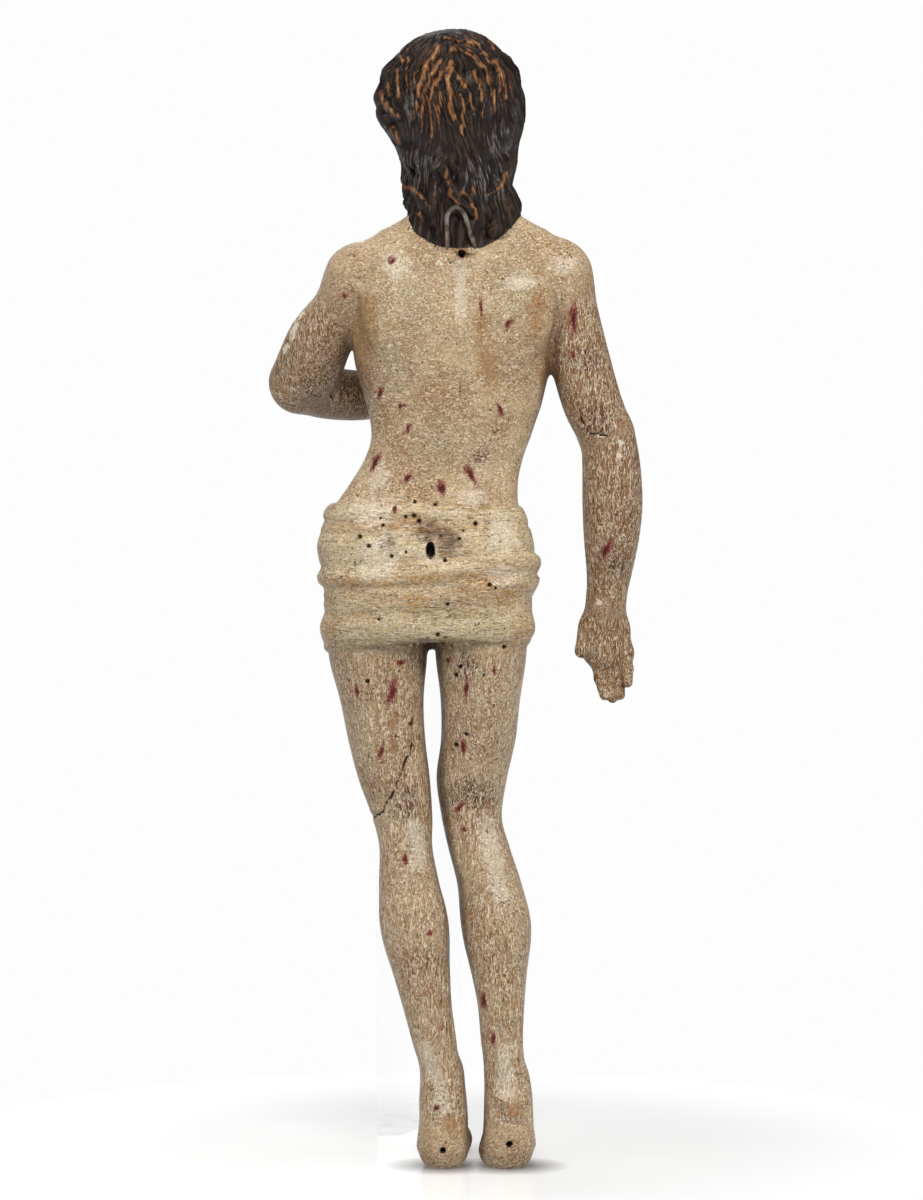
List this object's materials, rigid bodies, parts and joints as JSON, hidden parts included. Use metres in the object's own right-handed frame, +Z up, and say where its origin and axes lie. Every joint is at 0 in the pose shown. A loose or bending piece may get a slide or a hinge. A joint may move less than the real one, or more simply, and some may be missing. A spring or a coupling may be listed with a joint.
{
  "type": "polychrome wooden corpus figure",
  "caption": "Standing carved and painted wooden figure of a man in a rolled loincloth, one arm bent before the chest, with an iron hanging staple and a clear bent support.",
  "frame": {"origin": "on the floor, below the middle of the whole part's box", "axes": "+Z up from the soles to the crown; the figure faces -Y; its left side is +X"},
  "size_m": [0.132, 0.125, 0.4001],
  "materials": {
    "painted_wood": "worn oil paint over gesso on carved wood, satin",
    "iron_wire": "dark forged wire, lightly rusted",
    "clear_acrylic": "clear polished acrylic"
  },
  "bodies": {
    "root": {"corpus": "painted_wood", "hanging_staple": "iron_wire", "display_support": "clear_acrylic"}
  },
  "joints": []
}
